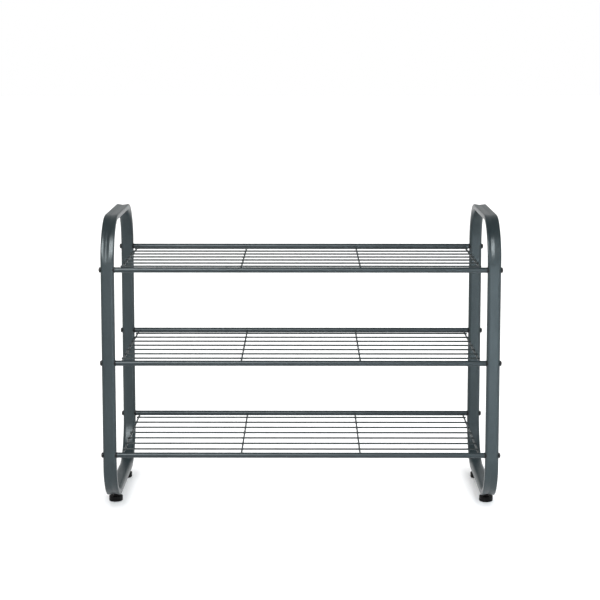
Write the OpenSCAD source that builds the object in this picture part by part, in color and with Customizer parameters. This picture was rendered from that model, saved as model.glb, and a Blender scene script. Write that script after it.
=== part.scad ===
// Three-tier wire shoe rack: two bent flat-oval side frames, three wire shelves bolted
// between them, and four screw-adjusted feet.
// Row frame: millimetres, +Z up, +X to the right, the front faces -Y.
// Origin: middle of the footprint, on the floor.

/* [Side frames] */
// Width over the two side frames, without the screw heads
frame_w = 700; // [560:1:900]
// Distance between the front and rear posts, centre to centre
frame_depth = 340; // [270:1:420]
// Wide side of the flat-oval tube, across the rack
tube_w = 24; // [20:0.5:30]
// Thin side of the flat-oval tube
tube_t = 12; // [10.5:0.5:15]
// Wall of the flat-oval tube
tube_wall = 1; // [0.8:0.1:1.5]
// Bend radius of the side frame, to the middle of the tube
bend_r = 80; // [60:1:96]

/* [Shelves] */
// Height from one shelf's rails to the next
shelf_pitch = 165.5; // [130:0.5:210]
// From the top rails up to the middle of the top bar
top_rise = 84; // [70:1:110]
// From the bottom rails down to the middle of the bottom bar
bottom_drop = 85; // [70:1:110]
// Diameter of a shelf rail
rail_d = 9.5; // [8.5:0.1:11.5]
// Wall of a shelf rail
rail_wall = 1; // [0.8:0.1:1.2]
// Diameter of the shelf wire
wire_d = 3; // [2.5:0.1:3.5]
// Long wires on each shelf, running left to right
long_wire_count = 7; // [5:1:9]
// Cross wires on each shelf, running front to back
cross_wire_count = 4; // [3:1:6]
// Gap between the side tube and the middle of the end cross wire
cross_wire_inset = 9; // [7:0.5:15]
// How far a long wire runs past the middle of the end cross wire
wire_overhang = 2.5; // [2:0.1:4]
// How far the cross wires lie below the middle of the rails
cross_wire_drop = 1.8; // [0:0.1:2.4]
// How far the welded wires sink into each other
weld_sink = 0.4; // [0.2:0.05:0.6]

/* [Rail joints] */
// Thread size of the screw that holds a rail end
screw_d = 5; // [4:0.5:6]
// Length of that screw under its head
screw_len = 40; // [36:1:48]
// Diameter of the screw's round head
head_d = 9.5; // [8:0.1:11.5]
// Height of that head
head_h = 3.5; // [2.4:0.05:4]
// Height of the straight rim of the head, below its dome
head_rim = 1.9; // [0.4:0.1:2.3]
// Hexagon socket in the head, across its flats
socket_af = 3; // [2.5:0.5:4]
// Depth of that socket
socket_depth = 1.6; // [1.3:0.1:2]
// Room around the screw in the tube and the spacer
screw_room = 0.25; // [0.15:0.05:0.4]
// Room between a screw's thread and the thread it turns in
thread_room = 0.05; // [0.02:0.01:0.09]
// Diameter of the black saddle spacer at a rail end
spacer_d = 10; // [9:0.1:10.4]
// Thickness of that spacer where it is thinnest
spacer_t = 1; // [0.8:0.1:2]
// Length of the threaded insert in a rail end
insert_len = 18; // [16:1:25]

/* [Feet] */
// From the floor up to the underside of the bottom bar
foot_stand = 15; // [14.5:0.5:21]
// Diameter of the foot pad
pad_d = 25; // [20:0.5:29]
// Height of the foot pad
pad_h = 9.5; // [8:0.1:11]
// Rounding of the pad's lower edge
pad_round = 2; // [1.5:0.1:2.4]
// Rounding of the pad's upper edge
pad_top_round = 0.8; // [0.5:0.1:1]
// Floor of the pad under the stud's flange
pad_floor = 4.5; // [3.5:0.1:5]
// Thread size of the foot's stud
stud_d = 6; // [5:0.5:7]
// How far the stud stands up inside the bottom bar
stud_reach = 7.5; // [6.5:0.1:8]
// Diameter of the flange that holds the stud in the pad
flange_d = 10; // [8.5:0.5:12]
// Thickness of that flange
flange_t = 2; // [1.5:0.1:2.5]
// Room around the flange and neck in the pad
swivel_room = 0.08; // [0.05:0.01:0.1]
// Hexagon collar on the stud, across its flats
collar_af = 10; // [8:0.5:12]
// Height of that collar
collar_h = 3.2; // [2.8:0.1:4.2]
// Gap between the collar and the top of the pad
collar_gap = 0.4; // [0.3:0.05:0.6]
// Weld nut inside the bottom bar, across its flats
nut_af = 10; // [9:0.5:11]
// Height of that nut
nut_h = 5; // [4:0.1:5.5]
// Gap between the nut's corner and the start of the bend
nut_to_bend = 0.3; // [0.2:0.1:20]
// Room around the stud in the bar's wall
stud_room = 0.4; // [0.3:0.05:0.6]

/* [Hidden] */
$fn = 96;
eps = 0.5;

// Side frame
frame_inner_x = frame_w / 2 - tube_w;
post_x = frame_w / 2 - tube_w / 2;
post_y = frame_depth / 2;
bar_bottom_z = foot_stand + tube_t / 2;
bottom_z = bar_bottom_z + bottom_drop;
middle_z = bottom_z + shelf_pitch;
top_z = middle_z + shelf_pitch;
bar_top_z = top_z + top_rise;
loop_h = bar_top_z - bar_bottom_z;
loop_z = (bar_top_z + bar_bottom_z) / 2;
shelf_heights = [bottom_z, middle_z, top_z];

// Shelves
rail_end_x = frame_inner_x - spacer_t;
rail_bore_d = rail_d - 2 * rail_wall;
cross_end_x = frame_inner_x - cross_wire_inset;
cross_step = 2 * cross_end_x / (cross_wire_count - 1);
long_step = frame_depth / (long_wire_count + 1);
long_rise = wire_d - weld_sink - cross_wire_drop;
long_half = cross_end_x + wire_overhang;

// Rail joints
screw_hole_d = screw_d + 2 * screw_room;
insert_bore_d = screw_d + 2 * thread_room;
saddle_reach = tube_t / 2 - sqrt(pow(tube_t / 2, 2) - pow(spacer_d / 2, 2));
dome_rise = head_h - head_rim;
dome_r = (pow(head_d / 2, 2) + pow(dome_rise, 2)) / (2 * dome_rise);

// Feet
nut_corner_r = nut_af / 2 / cos(30);
foot_y = post_y - bend_r - nut_corner_r - nut_to_bend;
flange_z = pad_floor + swivel_room;
collar_z = pad_h + collar_gap;
stud_top_z = foot_stand + stud_reach;
tube_inner_r = tube_t / 2 - tube_wall;
nut_past_flat = max(0, nut_corner_r - (tube_w - tube_t) / 2);
nut_rise = tube_inner_r - sqrt(pow(tube_inner_r, 2) - pow(nut_past_flat, 2));
nut_z = foot_stand + tube_wall + nut_rise;

tube_grey = [0.33, 0.37, 0.39];
wire_grey = [0.36, 0.39, 0.40];
black = [0.06, 0.06, 0.06];
zinc = [0.72, 0.73, 0.74];

// ---- Shapes that repeat ----

// Flat oval, thin along X and wide along Y
module oval(wide, thin) {
    square([thin, wide - thin], center = true);
    for (side = [-1, 1]) translate([0, side * (wide - thin) / 2]) circle(d = thin);
}

// Section of the side tube
module tube_section() {
    difference() {
        oval(tube_w, tube_t);
        oval(tube_w - 2 * tube_wall, tube_t - 2 * tube_wall);
    }
}

// Straight run of tube along +Y
module tube_run(length) {
    rotate([-90, 0, 0]) linear_extrude(height = length) tube_section();
}

// Closed loop of tube in the XY plane, centred, with four quarter bends
module tube_loop(across, along) {
    flat_x = across / 2 - bend_r;
    flat_y = along / 2 - bend_r;
    corners = [[1, 1, 0], [-1, 1, 90], [-1, -1, 180], [1, -1, 270]];
    for (c = corners)
        translate([c[0] * flat_x, c[1] * flat_y, 0])
            rotate([0, 0, c[2]])
                rotate_extrude(angle = 90) translate([bend_r, 0]) tube_section();
    for (side = [-1, 1]) {
        translate([side * across / 2, -flat_y, 0]) tube_run(2 * flat_y);
        translate([flat_x, side * along / 2, 0]) rotate([0, 0, 90]) tube_run(2 * flat_x);
    }
}

// A cylinder lying along X, from x1 to x2, in its own Y and Z
module rod_x(x1, x2, d) {
    translate([x1, 0, 0]) rotate([0, 90, 0]) cylinder(h = x2 - x1, d = d);
}

// Puts its children at the four rail ends of the shelf at height z.
// They are drawn for a right-hand rail end, and mirrored for a left-hand one.
module at_rail_ends(z) {
    for (side = [0, 1], y = [-post_y, post_y])
        mirror([side, 0, 0]) translate([0, y, z]) children();
}

// ---- Side frames ----

// One bent side frame; side is -1 on the left, 1 on the right
module side_frame(side) {
    color(tube_grey)
    difference() {
        translate([side * post_x, 0, loop_z])
            rotate([90, 0, 90]) tube_loop(frame_depth, loop_h);
        for (y = [-post_y, post_y], z = shelf_heights)
            translate([side * post_x, y, z]) rod_x(-tube_w, tube_w, screw_hole_d);
        for (y = [-foot_y, foot_y])
            translate([side * post_x, y, foot_stand - eps])
                cylinder(h = tube_wall + 2 * eps, d = stud_d + 2 * stud_room);
    }
}

// ---- Shelves ----

// One round rail; side is -1 at the front, 1 at the back
module rail(side, z) {
    color(tube_grey)
    translate([0, side * post_y, z])
    difference() {
        rod_x(-rail_end_x, rail_end_x, rail_d);
        rod_x(-rail_end_x - eps, rail_end_x + eps, rail_bore_d);
    }
}

// The long wires of one shelf, without their colour
module long_wire_set(z) {
    for (i = [1 : long_wire_count])
        translate([0, -post_y + i * long_step, z + long_rise]) rod_x(-long_half, long_half, wire_d);
}

module long_wires(z) {
    color(wire_grey) long_wire_set(z);
}

// The cross wires of one shelf: butted to the rails, and notched where the long wires are welded in
module cross_wires(z) {
    color(wire_grey)
    difference() {
        for (i = [0 : cross_wire_count - 1])
            translate([-cross_end_x + i * cross_step, post_y, z - cross_wire_drop])
                rotate([90, 0, 0]) cylinder(h = frame_depth, d = wire_d);
        for (y = [-post_y, post_y])
            translate([0, y, z]) rod_x(-rail_end_x, rail_end_x, rail_d);
        long_wire_set(z);
    }
}

// ---- Rail joints ----

// Threaded inserts in the four rail ends of one shelf
module rail_inserts(z) {
    color(zinc)
    at_rail_ends(z)
    difference() {
        rod_x(rail_end_x - insert_len, rail_end_x, rail_bore_d);
        rod_x(rail_end_x - insert_len - eps, rail_end_x + eps, insert_bore_d);
    }
}

// Spacers between the rail ends and the side tubes, hollowed to sit on the tube's round edge
module rail_spacers(z) {
    color(black)
    at_rail_ends(z)
    difference() {
        rod_x(rail_end_x, frame_inner_x + saddle_reach, spacer_d);
        rod_x(rail_end_x - eps, frame_inner_x + tube_w, screw_hole_d);
        translate([post_x, 0, -spacer_d])
            linear_extrude(height = 2 * spacer_d) rotate(90) oval(tube_w, tube_t);
    }
}

// Button-head screws through the side tube into the inserts
module rail_screws(z) {
    color(black)
    at_rail_ends(z) {
        rod_x(frame_w / 2 - screw_len, frame_w / 2 + eps, screw_d);
        translate([frame_w / 2, 0, 0]) rotate([0, 90, 0])
        difference() {
            intersection() {
                cylinder(h = head_h, d = head_d);
                translate([0, 0, head_h - dome_r]) sphere(r = dome_r);
            }
            translate([0, 0, head_h - socket_depth])
                cylinder(h = head_h, d = socket_af / cos(30), $fn = 6);
        }
    }
}

// ---- Feet ----

// Weld nuts inside the bottom bars, one over each foot
module foot_nuts() {
    color(zinc)
    for (x = [-post_x, post_x], y = [-foot_y, foot_y])
        translate([x, y, nut_z])
        difference() {
            cylinder(h = nut_h, r = nut_corner_r, $fn = 6);
            translate([0, 0, -eps]) cylinder(h = nut_h + 2 * eps, d = stud_d);
        }
}

// Threaded stud with a hexagon collar, and a flange that turns inside the pad
module foot_stud(side_x, side_y) {
    color(black)
    translate([side_x * post_x, side_y * foot_y, 0]) {
        translate([0, 0, flange_z]) cylinder(h = flange_t, d = flange_d);
        translate([0, 0, flange_z])
            cylinder(h = stud_top_z - flange_z, d = stud_d - 2 * thread_room);
        translate([0, 0, collar_z]) cylinder(h = collar_h, d = collar_af / cos(30), $fn = 6);
    }
}

// Half section of the pad: a disc with a rounded foot and rim
module pad_half_section() {
    r = pad_d / 2;
    translate([0, pad_round]) square([r, pad_h - pad_round - pad_top_round]);
    square([r - pad_round, pad_round]);
    translate([r - pad_round, pad_round]) circle(r = pad_round);
    translate([0, pad_h - pad_top_round - eps]) square([r - pad_top_round, pad_top_round + eps]);
    translate([r - pad_top_round, pad_h - pad_top_round]) circle(r = pad_top_round);
}

// Moulded pad that stands on the floor and holds the stud's flange
module foot_pad(side_x, side_y) {
    color(black)
    translate([side_x * post_x, side_y * foot_y, 0])
    difference() {
        rotate_extrude() pad_half_section();
        translate([0, 0, pad_floor])
            cylinder(h = flange_t + 2 * swivel_room, d = flange_d + 2 * swivel_room);
        translate([0, 0, pad_floor])
            cylinder(h = pad_h, d = stud_d - 2 * thread_room + 2 * swivel_room);
    }
}

// ---- The rack ----

side_frame(-1);  // side_frame_left
side_frame(1);  // side_frame_right

rail(-1, bottom_z);  // bottom_front_rail
rail(1, bottom_z);  // bottom_rear_rail
long_wires(bottom_z);  // bottom_long_wires
cross_wires(bottom_z);  // bottom_cross_wires
rail(-1, middle_z);  // middle_front_rail
rail(1, middle_z);  // middle_rear_rail
long_wires(middle_z);  // middle_long_wires
cross_wires(middle_z);  // middle_cross_wires
rail(-1, top_z);  // top_front_rail
rail(1, top_z);  // top_rear_rail
long_wires(top_z);  // top_long_wires
cross_wires(top_z);  // top_cross_wires

rail_inserts(bottom_z);  // bottom_rail_inserts
rail_inserts(middle_z);  // middle_rail_inserts
rail_inserts(top_z);  // top_rail_inserts
rail_spacers(bottom_z);  // bottom_rail_spacers
rail_spacers(middle_z);  // middle_rail_spacers
rail_spacers(top_z);  // top_rail_spacers
rail_screws(bottom_z);  // bottom_rail_screws
rail_screws(middle_z);  // middle_rail_screws
rail_screws(top_z);  // top_rail_screws

foot_nuts();
foot_stud(-1, -1);  // foot_stud_front_left
foot_stud(1, -1);  // foot_stud_front_right
foot_stud(-1, 1);  // foot_stud_rear_left
foot_stud(1, 1);  // foot_stud_rear_right
foot_pad(-1, -1);  // foot_pad_front_left
foot_pad(1, -1);  // foot_pad_front_right
foot_pad(-1, 1);  // foot_pad_rear_left
foot_pad(1, 1);  // foot_pad_rear_right
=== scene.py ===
"""Looks of a three-tier wire shoe rack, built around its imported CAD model.

Metres, in the CAD model's frame: +Z up, the front faces -Y. Each visible piece rides on the body
of the CAD node that it stands for, and every material is made of procedural nodes.
"""

import math
import random

import bmesh
import bpy
from mathutils import Matrix, Vector


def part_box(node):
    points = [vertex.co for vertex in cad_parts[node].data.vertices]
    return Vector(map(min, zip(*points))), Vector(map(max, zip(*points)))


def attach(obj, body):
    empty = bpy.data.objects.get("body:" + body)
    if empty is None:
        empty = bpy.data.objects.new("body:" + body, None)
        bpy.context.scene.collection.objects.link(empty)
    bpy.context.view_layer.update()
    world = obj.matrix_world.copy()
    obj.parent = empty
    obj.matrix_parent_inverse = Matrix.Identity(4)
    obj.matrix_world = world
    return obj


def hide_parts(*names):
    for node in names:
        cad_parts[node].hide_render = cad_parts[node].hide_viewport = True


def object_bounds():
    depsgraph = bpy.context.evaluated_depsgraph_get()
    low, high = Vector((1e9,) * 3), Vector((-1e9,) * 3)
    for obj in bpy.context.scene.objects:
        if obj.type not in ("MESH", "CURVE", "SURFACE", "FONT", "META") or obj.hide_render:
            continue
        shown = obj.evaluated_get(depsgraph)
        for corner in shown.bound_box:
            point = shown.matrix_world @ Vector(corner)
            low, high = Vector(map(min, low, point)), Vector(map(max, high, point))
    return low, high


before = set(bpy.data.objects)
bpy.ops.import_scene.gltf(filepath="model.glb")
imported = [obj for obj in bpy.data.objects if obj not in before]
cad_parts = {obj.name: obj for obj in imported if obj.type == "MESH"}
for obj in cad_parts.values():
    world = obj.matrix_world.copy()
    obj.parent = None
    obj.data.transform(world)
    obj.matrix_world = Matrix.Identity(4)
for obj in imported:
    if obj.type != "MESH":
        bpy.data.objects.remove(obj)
cad_low, cad_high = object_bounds()

MM = 0.001
SHELVES = ("bottom", "middle", "top")
SIDES = ("left", "right")
FEET = ("front_left", "front_right", "rear_left", "rear_right")
RACK = "rack"


# ---- Places taken from the frame ----

def middle(node):
    """Centre of a CAD node's box."""
    low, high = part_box(node)
    return (Vector(low) + Vector(high)) / 2


def extent(node):
    """Size of a CAD node's box."""
    low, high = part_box(node)
    return Vector(high) - Vector(low)


# The flat-oval tube's thin side and wall, and the radius of its bends to the middle line
TUBE_THIN = 12 * MM
TUBE_WALL = 1 * MM
BEND_R = 80 * MM

# What the boxes of the CAD nodes give
TUBE_WIDE = extent("side_frame_left").x
LOOP_DEPTH = extent("side_frame_left").y - TUBE_THIN
LOOP_HEIGHT = extent("side_frame_left").z - TUBE_THIN
WIRE_D = extent("top_long_wires").z
RAIL_D = extent("top_front_rail").z
SHELF_Z = {shelf: middle(f"{shelf}_front_rail").z for shelf in SHELVES}
POST_Y = LOOP_DEPTH / 2

# Wires of one shelf
LONG_WIRES = 7
CROSS_WIRES = 4


# ---- Node helpers ----

class Nodes:
    """A material's node tree, with short calls to add and join nodes."""

    def __init__(self, name):
        self.material = bpy.data.materials.new(name)
        self.material.use_nodes = True
        self.tree = self.material.node_tree
        self.tree.nodes.clear()
        self.shader = self.add("ShaderNodeBsdfPrincipled")
        out = self.add("ShaderNodeOutputMaterial")
        self.join(self.shader.outputs["BSDF"], out.inputs["Surface"])
        self.place = self.add("ShaderNodeTexCoord").outputs["Object"]

    def add(self, kind, **settings):
        made = self.tree.nodes.new(kind)
        for key, value in settings.items():
            setattr(made, key, value)
        return made

    def join(self, source, target):
        self.tree.links.new(source, target)

    def noise(self, scale, detail):
        made = self.add("ShaderNodeTexNoise")
        made.inputs["Scale"].default_value = scale
        made.inputs["Detail"].default_value = detail
        self.join(self.place, made.inputs["Vector"])
        return made.outputs["Fac"]

    def cells(self, scale):
        """A random colour for each small cell."""
        made = self.add("ShaderNodeTexVoronoi")
        made.inputs["Scale"].default_value = scale
        self.join(self.place, made.inputs["Vector"])
        return made.outputs["Color"]

    def spread(self, source, low, high, low_to, high_to):
        """Maps the range low..high of source onto low_to..high_to."""
        made = self.add("ShaderNodeMapRange")
        made.inputs["From Min"].default_value = low
        made.inputs["From Max"].default_value = high
        made.inputs["To Min"].default_value = low_to
        made.inputs["To Max"].default_value = high_to
        self.join(source, made.inputs["Value"])
        return made.outputs["Result"]

    def blend(self, factor, first, second):
        """Mixes two colours, given as tuples or as node outputs."""
        made = self.add("ShaderNodeMix", data_type="RGBA")
        self.join(factor, made.inputs["Factor"])
        for value, socket in ((first, made.inputs[6]), (second, made.inputs[7])):
            if isinstance(value, tuple):
                socket.default_value = (*value, 1.0)
            else:
                self.join(value, socket)
        return made.outputs[2]

    def bump(self, source, depth, strength, under=None):
        """Surface relief of a depth in metres, laid over the relief under it."""
        made = self.add("ShaderNodeBump")
        made.inputs["Strength"].default_value = strength
        made.inputs["Distance"].default_value = depth
        self.join(source, made.inputs["Height"])
        if under is not None:
            self.join(under, made.inputs["Normal"])
        return made.outputs["Normal"]

    def finish(self, colour=None, roughness=None, normal=None, **plain):
        """Joins what varies to the shader, and sets what is the same all over."""
        for name, source in (("Base Color", colour), ("Roughness", roughness), ("Normal", normal)):
            if source is not None:
                self.join(source, self.shader.inputs[name])
        for name, value in plain.items():
            self.shader.inputs[name.replace("_", " ")].default_value = value
        return self.material


# ---- Materials ----

# How much brighter a flake is than the paint round it
FLAKE_BRIGHT = 2.4


def powder_coat(name, dark, light, metallic, gloss):
    """Grey powder coat: orange peel, fine flakes and a slow drift of tone."""
    n = Nodes(name)
    drift = n.spread(n.noise(scale=9, detail=3), 0.35, 0.65, 0.0, 1.0)
    tone = n.blend(drift, dark, light)
    flake_pick = n.add("ShaderNodeSeparateColor")
    n.join(n.cells(scale=2600), flake_pick.inputs["Color"])
    flake = n.spread(flake_pick.outputs["Red"], 0.82, 1.0, 0.0, 0.35)
    bright = tuple(FLAKE_BRIGHT * c for c in light)
    colour = n.blend(flake, tone, bright)
    rough = n.spread(n.noise(scale=420, detail=2), 0.3, 0.7, gloss - 0.05, gloss + 0.06)
    peel = n.bump(n.noise(scale=560, detail=1.5), 0.06 * MM, 0.55)
    grain = n.bump(n.noise(scale=2300, detail=1), 0.02 * MM, 0.4, under=peel)
    return n.finish(colour, rough, grain, Metallic=metallic, Specular_IOR_Level=0.36)


def black_oxide(name):
    """Black zinc on a screw: satin, a little brown, with fine pits."""
    n = Nodes(name)
    drift = n.spread(n.noise(scale=260, detail=3), 0.3, 0.7, 0.0, 1.0)
    colour = n.blend(drift, (0.005, 0.005, 0.006), (0.013, 0.012, 0.012))
    rough = n.spread(n.noise(scale=900, detail=2), 0.3, 0.7, 0.34, 0.5)
    pits = n.bump(n.noise(scale=1800, detail=2), 0.02 * MM, 0.5)
    return n.finish(colour, rough, pits, Metallic=0.6)


def moulded_black(name, low, high, gloss):
    """Black moulded plastic with a fine eroded grain."""
    n = Nodes(name)
    drift = n.spread(n.noise(scale=140, detail=3), 0.3, 0.7, 0.0, 1.0)
    colour = n.blend(drift, (low, low, low * 1.05), (high, high, high * 1.04))
    rough = n.spread(n.noise(scale=700, detail=2), 0.3, 0.7, gloss - 0.06, gloss + 0.08)
    grain = n.bump(n.noise(scale=1500, detail=3), 0.05 * MM, 0.6)
    return n.finish(colour, rough, grain, Metallic=0.0, Specular_IOR_Level=0.10)


def zinc_plate(name):
    """Bright zinc plate with a faint blue and yellow cast."""
    n = Nodes(name)
    drift = n.spread(n.noise(scale=120, detail=3), 0.3, 0.7, 0.0, 1.0)
    colour = n.blend(drift, (0.50, 0.52, 0.56), (0.62, 0.60, 0.53))
    rough = n.spread(n.noise(scale=600, detail=2), 0.3, 0.7, 0.24, 0.38)
    grain = n.bump(n.noise(scale=1600, detail=2), 0.02 * MM, 0.5)
    return n.finish(colour, rough, grain, Metallic=1.0)


GREY = powder_coat("frame_grey", (0.017, 0.026, 0.029), (0.023, 0.033, 0.036), 0.25, 0.36)
# The rails, wires and welds take the frame's powder coat painted darker: painted shade for how the
# light falls on these thin parts
RAIL_GREY_PAINTED_SHADE = powder_coat("rail_grey_painted_shade", (0.012, 0.019, 0.022), (0.017, 0.025, 0.028), 0.25, 0.40)
WIRE_GREY_PAINTED_SHADE = powder_coat("wire_grey", (0.011, 0.017, 0.018), (0.017, 0.023, 0.024), 0.25, 0.40)
SCREW_BLACK = black_oxide("screw_black")
SPACER_BLACK = moulded_black("spacer_black", 0.004, 0.008, 0.5)
FOOT_BLACK = moulded_black("foot_black", 0.002, 0.005, 0.46)
ZINC = zinc_plate("zinc")


# ---- Mesh helpers ----

def piece(name, mesh, material, body, replaced=()):
    """Turns a mesh into a named piece of the rack."""
    made = bpy.data.objects.new(name, mesh)
    bpy.context.scene.collection.objects.link(made)
    mesh.materials.clear()
    mesh.materials.append(material)
    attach(made, body)
    if replaced:
        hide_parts(*replaced)
    return made


def smooth(mesh, angle):
    """Shades a mesh smooth, apart from edges sharper than an angle in degrees."""
    for face in mesh.polygons:
        face.use_smooth = True
    mesh.set_sharp_from_angle(angle=math.radians(angle))


def skin(bm, rings, inward):
    """Joins closed rings of vertices into a closed loop of tube that faces in or out."""
    count = len(rings[0])
    for i, ring in enumerate(rings):
        following = rings[(i + 1) % len(rings)]
        for j in range(count):
            k = (j + 1) % count
            corners = (ring[j], ring[k], following[k], following[j])
            bm.faces.new(tuple(reversed(corners)) if inward else corners)


# ---- Side frames ----

# Bending sinks the outer wall and squares its shoulders. Depth, left rim, lowest line and right rim
# of the sunken wall, first near the front posts and then where it is fully open:
GROOVE_EARLY = {"left": (1.5 * MM, -6.9 * MM, -2.0 * MM, 3.4 * MM),
                "right": (1.55 * MM, -9.2 * MM, -7.6 * MM, 0.2 * MM)}
GROOVE_OPEN = (2.4 * MM, -10.6 * MM, 0.0, 10.6 * MM)
# Roundness of the lowest line, as a share of the distance to the rim
GROOVE_ROUND = 0.12
# Turn of the front bend at which the early shape starts to open, and the turn that it takes
OPENING_START = math.radians(36)
OPENING_TURN = math.radians(24)
# Power of the rounded corner where the tube is fully squared; 2 is a plain round
CORNER_POWER = 6.5
# How much of the bends' shape is left in the bars between them, and how full the lower bends are
TOP_BAR_SHARE = 0.62
BOTTOM_BEND_SHARE = 0.9
BOTTOM_BAR_SHARE = 0.75
# Turn over which a bend reaches its full shape
RAMP = math.radians(26)
# Mesh steps: half an end round, a flat side, a bend, a bar and a post
ROUND_STEPS = 14
FLAT_STEPS = 24
BEND_STEPS = 30
BAR_STEPS = 16
POST_STEPS = 24


def ease(t):
    """Smooth step from 0 to 1."""
    t = min(1.0, max(0.0, t))
    return t * t * (3 - 2 * t)


def groove(across, side, opening, shrink):
    """How far the outer wall is sunk; opening is 0 for the early shape and 1 for the open one."""
    depth, left, lowest, right = (early + (full - early) * opening
                                  for early, full in zip(GROOVE_EARLY[side], GROOVE_OPEN))
    span = lowest - left if across < lowest else right - lowest
    t = min(1.0, abs(across - lowest) / (span - shrink * opening))
    rim = math.hypot(1, GROOVE_ROUND)
    return depth * (rim - math.hypot(t, GROOVE_ROUND)) / (rim - GROOVE_ROUND)


def section_points(bent, opening, shrink, side):
    """Section of the tube as (across, outward) points. bent is 0 on a straight run and 1 where
    bending has squared the outer corners and sunk the outer wall, and shrink insets it."""
    half_wide = TUBE_WIDE / 2 - shrink
    half_thin = TUBE_THIN / 2 - shrink
    flat = half_wide - half_thin
    power = 2 + (CORNER_POWER - 2) * bent
    points = []

    def add(across, out):
        if out > 0:
            out -= bent * groove(across, side, opening, shrink)
        points.append((across, out))

    for i in range(FLAT_STEPS):
        add(-flat + 2 * flat * i / FLAT_STEPS, half_thin)
    for i in range(2 * ROUND_STEPS):
        a = math.pi / 2 - math.pi * i / (2 * ROUND_STEPS)
        p = power if a > 0 else 2
        add(flat + half_thin * math.cos(a) ** (2 / p),
            math.copysign(half_thin * abs(math.sin(a)) ** (2 / p), a))
    for i in range(FLAT_STEPS):
        add(flat - 2 * flat * i / FLAT_STEPS, -half_thin)
    for i in range(2 * ROUND_STEPS):
        a = -math.pi / 2 - math.pi * i / (2 * ROUND_STEPS)
        b = -math.pi - a
        p = power if b > 0 else 2
        add(-flat - half_thin * abs(math.cos(a)) ** (2 / p),
            math.copysign(half_thin * abs(math.sin(b)) ** (2 / p), b))
    return points


def loop_stations():
    """Stations along the loop's middle line: (y, z, outward y, outward z, bent, opening)."""
    flat_y = LOOP_DEPTH / 2 - BEND_R
    flat_z = LOOP_HEIGHT / 2 - BEND_R
    stations = []

    def bend(cy, cz, start, before, full, after):
        """A quarter turn from the angle start, with the bent shares before, in and after it."""
        for i in range(BEND_STEPS + 1):
            turn = math.pi / 2 * i / BEND_STEPS
            a = start - turn
            if turn < math.pi / 4:
                bent = before + (full - before) * ease(turn / RAMP)
            else:
                bent = after + (full - after) * ease((math.pi / 2 - turn) / RAMP)
            front_top = start == math.pi
            opening = ease((turn - OPENING_START) / OPENING_TURN) if front_top else 1
            stations.append((cy + BEND_R * math.cos(a), cz + BEND_R * math.sin(a),
                             math.cos(a), math.sin(a), bent, opening))

    def run(y1, z1, y2, z2, ny, nz, steps, bent):
        """A straight run between two bends, whose outer side faces (ny, nz)."""
        for i in range(1, steps):
            t = i / steps
            stations.append((y1 + (y2 - y1) * t, z1 + (z2 - z1) * t, ny, nz, bent, 1))

    bend(-flat_y, flat_z, math.pi, 0, 1, TOP_BAR_SHARE)
    run(-flat_y, LOOP_HEIGHT / 2, flat_y, LOOP_HEIGHT / 2, 0, 1, BAR_STEPS, TOP_BAR_SHARE)
    bend(flat_y, flat_z, math.pi / 2, TOP_BAR_SHARE, 1, 0)
    run(LOOP_DEPTH / 2, flat_z, LOOP_DEPTH / 2, -flat_z, 1, 0, POST_STEPS, 0)
    bend(flat_y, -flat_z, 0, 0, BOTTOM_BEND_SHARE, BOTTOM_BAR_SHARE)
    run(flat_y, -LOOP_HEIGHT / 2, -flat_y, -LOOP_HEIGHT / 2, 0, -1, BAR_STEPS, BOTTOM_BAR_SHARE)
    bend(-flat_y, -flat_z, -math.pi / 2, BOTTOM_BAR_SHARE, BOTTOM_BEND_SHARE, 0)
    run(-LOOP_DEPTH / 2, -flat_z, -LOOP_DEPTH / 2, flat_z, -1, 0, POST_STEPS, 0)
    return stations


SCREW_HOLE_D = 5.5 * MM
STUD_HOLE_D = 6.8 * MM
HOLE_SIDES = 28


def cutter(holes):
    """One mesh of cylinders: each hole is (centre, axis letter, length, diameter)."""
    bm = bmesh.new()
    for centre, axis, length, diameter in holes:
        turn = Matrix.Rotation(math.pi / 2, 4, "Y") if axis == "X" else Matrix.Identity(4)
        bmesh.ops.create_cone(bm, cap_ends=True, segments=HOLE_SIDES, radius1=diameter / 2,
                              radius2=diameter / 2, depth=length,
                              matrix=Matrix.Translation(centre) @ turn)
    mesh = bpy.data.meshes.new("cutter")
    bm.to_mesh(mesh)
    bm.free()
    return bpy.data.objects.new("cutter", mesh)


def cut(made, tool):
    """Cuts the tool out of a mesh object and applies the result."""
    bpy.context.scene.collection.objects.link(tool)
    step = made.modifiers.new("cut", "BOOLEAN")
    step.operation = "DIFFERENCE"
    step.solver = "EXACT"
    step.object = tool
    done = bpy.data.meshes.new_from_object(
        made.evaluated_get(bpy.context.evaluated_depsgraph_get()))
    made.modifiers.clear()
    made.data = done
    bpy.data.objects.remove(tool)
    return done


def side_frame(side):
    """A bent flat-oval loop with sunken bends, hollow, with its screw and stud holes."""
    node = f"side_frame_{side}"
    centre = middle(node)
    bm = bmesh.new()
    stations = loop_stations()
    for shrink, inward in ((0.0, False), (TUBE_WALL, True)):
        rings = []
        for y, z, ny, nz, bent, opening in stations:
            rings.append([bm.verts.new(centre + Vector((x, y + ny * out, z + nz * out)))
                          for x, out in section_points(bent, opening, shrink, side)])
        skin(bm, rings, inward)
    mesh = bpy.data.meshes.new(f"{node}_bent")
    bm.to_mesh(mesh)
    bm.free()
    made = piece(f"{node}_bent", mesh, GREY, RACK, (node,))
    holes = [(Vector((centre.x, y, z)), "X", 2 * TUBE_WIDE, SCREW_HOLE_D)
             for y in (-POST_Y, POST_Y) for z in SHELF_Z.values()]
    for end in ("front", "rear"):
        foot = middle(f"foot_stud_{end}_{side}")
        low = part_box(node)[0][2]
        holes.append((Vector((foot.x, foot.y, low)), "Z", 4 * TUBE_WALL, STUD_HOLE_D))
    smooth(cut(made, cutter(holes)), angle=35)


for side_name in SIDES:
    side_frame(side_name)


# ---- Welds ----

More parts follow.
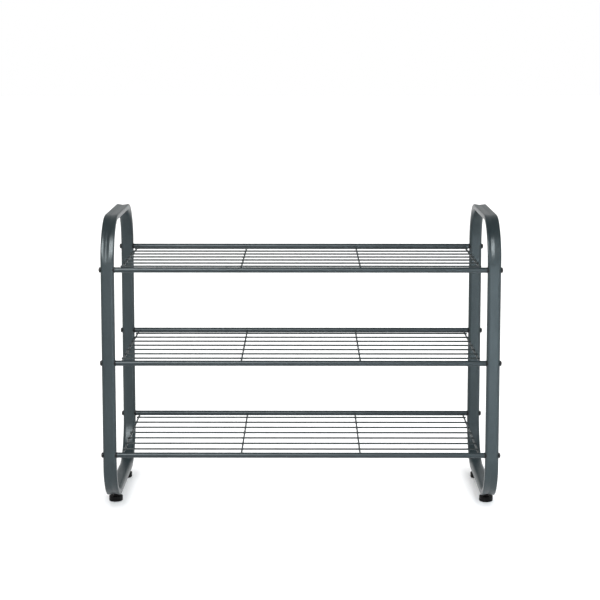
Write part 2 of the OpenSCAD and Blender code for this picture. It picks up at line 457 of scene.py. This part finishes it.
# Half sizes of a bead at a crossing of wires, and of one where a cross wire meets a rail
WELD_ACROSS = 1.8 * MM
WELD_UP = 0.85 * MM
WELD_END = 1.75 * MM
WELD_END_DEEP = 1.3 * MM


def blob(bm, centre, size, turn):
    """A small uneven bead of weld; size is its three half lengths."""
    shape = Matrix.Translation(centre) @ Matrix.Rotation(turn, 4, "Z") @ Matrix.Diagonal((*size, 1))
    bmesh.ops.create_icosphere(bm, subdivisions=2, radius=1.0, matrix=shape)


def shelf_welds(shelf):
    """Beads where the wires of one shelf cross, and where the cross wires meet the rails."""
    longs = middle(f"{shelf}_long_wires")
    crosses = middle(f"{shelf}_cross_wires")
    half_x = extent(f"{shelf}_cross_wires").x / 2 - WIRE_D / 2
    half_y = extent(f"{shelf}_long_wires").y / 2 - WIRE_D / 2
    chance = random.Random(f"welds of the {shelf} shelf")
    bm = bmesh.new()
    for i in range(CROSS_WIRES):
        x = crosses.x + half_x * (2 * i / (CROSS_WIRES - 1) - 1)
        for j in range(LONG_WIRES):
            y = longs.y + half_y * (2 * j / (LONG_WIRES - 1) - 1)
            swell = chance.uniform(0.9, 1.08)
            blob(bm, Vector((x, y, (longs.z + crosses.z) / 2)),
                 (WELD_ACROSS * swell, WELD_ACROSS * chance.uniform(0.92, 1.05), WELD_UP * swell),
                 chance.uniform(0, math.pi))
        for side in (-1, 1):
            y = side * (POST_Y - RAIL_D / 2)
            blob(bm, Vector((x, y, crosses.z)),
                 (WELD_END * chance.uniform(0.95, 1.1), WELD_END_DEEP, WELD_END), 0.0)
    mesh = bpy.data.meshes.new(f"{shelf}_welds")
    bm.to_mesh(mesh)
    bm.free()
    smooth(mesh, angle=60)
    piece(f"{shelf}_welds", mesh, WIRE_GREY_PAINTED_SHADE, RACK)


for shelf_name in SHELVES:
    shelf_welds(shelf_name)


# ---- Foot studs ----

THREAD_PITCH = 1.0 * MM
THREAD_DEPTH = 0.55 * MM
# Where the thread fades out, its surface lies at this share of the thread's depth
THREAD_FADED = 0.35
# How far the thread starts inside the collar
THREAD_START = 0.5 * MM
# Mesh steps: round the thread, and up each pitch of it
THREAD_ROUND = 28
THREAD_ROWS = 8
SHAFT_R = 2.95 * MM
FLANGE_R = 5 * MM
FLANGE_TOP = 6.58 * MM
FLANGE_ROUND = 48
HEXAGON = 6
COLLAR_LOW = 9.9 * MM
COLLAR_HIGH = 13.1 * MM
COLLAR_CHAMFER = 0.5 * MM
COLLAR_CHAMFER_UP = 0.3 * MM
EDGE_BREAK = 0.2 * MM


def turned(bm, centre, profile, segments):
    """Closed turned shape from (radius, z) pairs, capped at both ends."""
    rings = []
    for radius, z in profile:
        rings.append([bm.verts.new((centre.x + radius * math.cos(2 * math.pi * k / segments),
                                    centre.y + radius * math.sin(2 * math.pi * k / segments), z))
                      for k in range(segments)])
    for low, high in zip(rings, rings[1:]):
        for k in range(segments):
            m = (k + 1) % segments
            bm.faces.new((low[k], low[m], high[m], high[k]))
    bm.faces.new(tuple(reversed(rings[0])))
    bm.faces.new(tuple(rings[-1]))


def thread(bm, centre, low, high):
    """Right-hand thread as one closed skin between two heights, fading out at both ends."""
    rows = int((high - low) / THREAD_PITCH * THREAD_ROWS)
    rings = []
    for row in range(rows + 1):
        z = low + (high - low) * row / rows
        fade = min(1.0, (z - low) / THREAD_PITCH, (high - z) / THREAD_PITCH)
        ring = []
        for k in range(THREAD_ROUND):
            turn = k / THREAD_ROUND
            phase = (z / THREAD_PITCH - turn) % 1.0
            cut_in = 1 - abs(2 * phase - 1)
            radius = SHAFT_R - THREAD_DEPTH * (cut_in * fade + THREAD_FADED * (1 - fade))
            a = 2 * math.pi * turn
            ring.append(bm.verts.new((centre.x + radius * math.cos(a),
                                      centre.y + radius * math.sin(a), z)))
        rings.append(ring)
    for below, above in zip(rings, rings[1:]):
        for k in range(THREAD_ROUND):
            m = (k + 1) % THREAD_ROUND
            bm.faces.new((below[k], below[m], above[m], above[k]))
    bm.faces.new(tuple(reversed(rings[0])))
    bm.faces.new(tuple(rings[-1]))


def foot_stud(foot):
    """Threaded stud: flange in the pad, neck, chamfered hexagon collar and thread."""
    node = f"foot_stud_{foot}"
    low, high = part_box(node)
    centre = middle(node)
    collar_r = extent(node).x / 2
    bm = bmesh.new()
    turned(bm, centre, [(FLANGE_R - EDGE_BREAK, low[2]),
                        (FLANGE_R, low[2] + EDGE_BREAK),
                        (FLANGE_R, FLANGE_TOP - EDGE_BREAK),
                        (FLANGE_R - EDGE_BREAK, FLANGE_TOP),
                        (SHAFT_R, FLANGE_TOP),
                        (SHAFT_R, COLLAR_LOW + EDGE_BREAK)], FLANGE_ROUND)
    turned(bm, centre, [(collar_r - COLLAR_CHAMFER, COLLAR_LOW),
                        (collar_r, COLLAR_LOW + COLLAR_CHAMFER_UP),
                        (collar_r, COLLAR_HIGH - COLLAR_CHAMFER_UP),
                        (collar_r - COLLAR_CHAMFER, COLLAR_HIGH)], HEXAGON)
    thread(bm, centre, COLLAR_HIGH - THREAD_START, high[2])
    mesh = bpy.data.meshes.new(f"{node}_threaded")
    bm.to_mesh(mesh)
    bm.free()
    smooth(mesh, angle=40)
    piece(f"{node}_threaded", mesh, SCREW_BLACK, f"stud_{foot}", (node,))


for foot_name in FEET:
    foot_stud(foot_name)


# ---- Carried-over CAD nodes ----

def paint(node, material):
    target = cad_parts[node]
    target.data.materials.clear()
    target.data.materials.append(material)


for shelf in SHELVES:
    for part in ("front_rail", "rear_rail"):
        paint(f"{shelf}_{part}", RAIL_GREY_PAINTED_SHADE)
    for part in ("long_wires", "cross_wires"):
        paint(f"{shelf}_{part}", WIRE_GREY_PAINTED_SHADE)
    paint(f"{shelf}_rail_inserts", ZINC)
    paint(f"{shelf}_rail_spacers", SPACER_BLACK)
    paint(f"{shelf}_rail_screws", SCREW_BLACK)
paint("foot_nuts", ZINC)
for foot_name in FEET:
    paint(f"foot_pad_{foot_name}", FOOT_BLACK)


# ---- Floor, light and camera ----

FLOOR_HALF = 20.0
SKY_STEPS = ((0.0, 1.0), (0.06, 1.0), (0.18, 0.6), (0.52, 0.55), (0.74, 0.02))


def studio_floor():
    mesh = bpy.data.meshes.new("floor")
    corners = [(-FLOOR_HALF, -FLOOR_HALF, 0), (FLOOR_HALF, -FLOOR_HALF, 0),
               (FLOOR_HALF, FLOOR_HALF, 0), (-FLOOR_HALF, FLOOR_HALF, 0)]
    mesh.from_pydata(corners, [], [(0, 1, 2, 3)])
    floor = bpy.data.objects.new("floor", mesh)
    bpy.context.scene.collection.objects.link(floor)
    n = Nodes("floor_white")
    mesh.materials.append(n.finish(Base_Color=(0.93, 0.93, 0.93, 1.0), Roughness=0.7,
                                   Specular_IOR_Level=0.2))


def studio_sky():
    """A white surround that darkens overhead. Each step is a direction's height, from 0 at the
    horizon to 1 overhead, and the strength there."""
    world = bpy.data.worlds.new("studio")
    bpy.context.scene.world = world
    world.use_nodes = True
    tree = world.node_tree
    tree.nodes.clear()
    out = tree.nodes.new("ShaderNodeOutputWorld")
    back = tree.nodes.new("ShaderNodeBackground")
    place = tree.nodes.new("ShaderNodeTexCoord")
    split = tree.nodes.new("ShaderNodeSeparateXYZ")
    ramp = tree.nodes.new("ShaderNodeValToRGB")
    while len(ramp.color_ramp.elements) < len(SKY_STEPS):
        ramp.color_ramp.elements.new(1.0)
    for element, (height, strength) in zip(ramp.color_ramp.elements, SKY_STEPS):
        element.position = height
        element.color = (strength, strength, strength, 1.0)
    tree.links.new(place.outputs["Generated"], split.inputs["Vector"])
    tree.links.new(split.outputs["Z"], ramp.inputs["Fac"])
    tree.links.new(ramp.outputs["Color"], back.inputs["Color"])
    tree.links.new(back.outputs["Background"], out.inputs["Surface"])


def softbox(name, azimuth, elevation, distance, size, power, tint=(1.0, 1.0, 1.0)):
    """An area light that faces the rack's middle; azimuth 0 is straight in front."""
    light = bpy.data.lights.new(name, "AREA")
    light.shape = "RECTANGLE"
    light.size, light.size_y = size
    light.energy = power
    light.color = tint
    made = bpy.data.objects.new(name, light)
    bpy.context.scene.collection.objects.link(made)
    a, e = math.radians(azimuth), math.radians(elevation)
    aim = (cad_low + cad_high) / 2
    back = Vector((math.sin(a) * math.cos(e), -math.cos(a) * math.cos(e), math.sin(e)))
    made.location = aim + back * distance
    made.rotation_mode = "QUATERNION"
    made.rotation_quaternion = back.to_track_quat("Z", "Y")
    return made


def floor_glow(x, y, height, power):
    """A cool light on the floor in front, which the right-hand frame mirrors."""
    light = bpy.data.lights.new("floor_glow", "AREA")
    light.size = 0.8
    light.energy = power
    light.color = (0.82, 0.92, 1.0)
    made = bpy.data.objects.new("floor_glow", light)
    made.location = (x, y, height)
    made.visible_glossy = False
    bpy.context.scene.collection.objects.link(made)


def overhead(power, spread):
    """A very wide light from straight above, which whitens the floor and shows in no reflection."""
    light = bpy.data.lights.new("overhead", "SUN")
    light.energy = power
    light.angle = math.radians(spread)
    made = bpy.data.objects.new("overhead", light)
    made.visible_glossy = False
    bpy.context.scene.collection.objects.link(made)


def studio_light():
    """A tall strip on the left, which shows only as highlights on the bends, and soft lights."""
    studio_sky()
    strip = softbox("softbox_strip", azimuth=-14, elevation=40, distance=2.6, size=(0.7, 1.7),
                    power=96)
    strip.visible_diffuse = False
    softbox("softbox_right", azimuth=34, elevation=26, distance=3.2, size=(1.4, 1.4), power=12,
            tint=(0.90, 0.95, 1.0))
    floor_glow(x=0.62, y=-1.85, height=0.6, power=60)
    overhead(power=4.0, spread=120)


# Place in metres, degrees down and to the left, lens and sensor in mm, and the upright shift
CAMERA_PLACE = Vector((0.0099, -3.1293, 0.8466))
CAMERA_PITCH = 7.21
CAMERA_YAW = 0.217
CAMERA_LENS = 102.65
CAMERA_SENSOR = 36.0
CAMERA_SHIFT = -0.0833


def camera():
    data = bpy.data.cameras.new("camera")
    data.sensor_width = CAMERA_SENSOR
    data.lens = CAMERA_LENS
    data.shift_y = CAMERA_SHIFT
    made = bpy.data.objects.new("camera", data)
    bpy.context.scene.collection.objects.link(made)
    made.location = CAMERA_PLACE
    made.rotation_euler = (math.radians(90 - CAMERA_PITCH), 0.0, math.radians(CAMERA_YAW))
    bpy.context.scene.camera = made


studio_floor()
studio_light()
camera()
bpy.context.scene.view_settings.view_transform = "Standard"
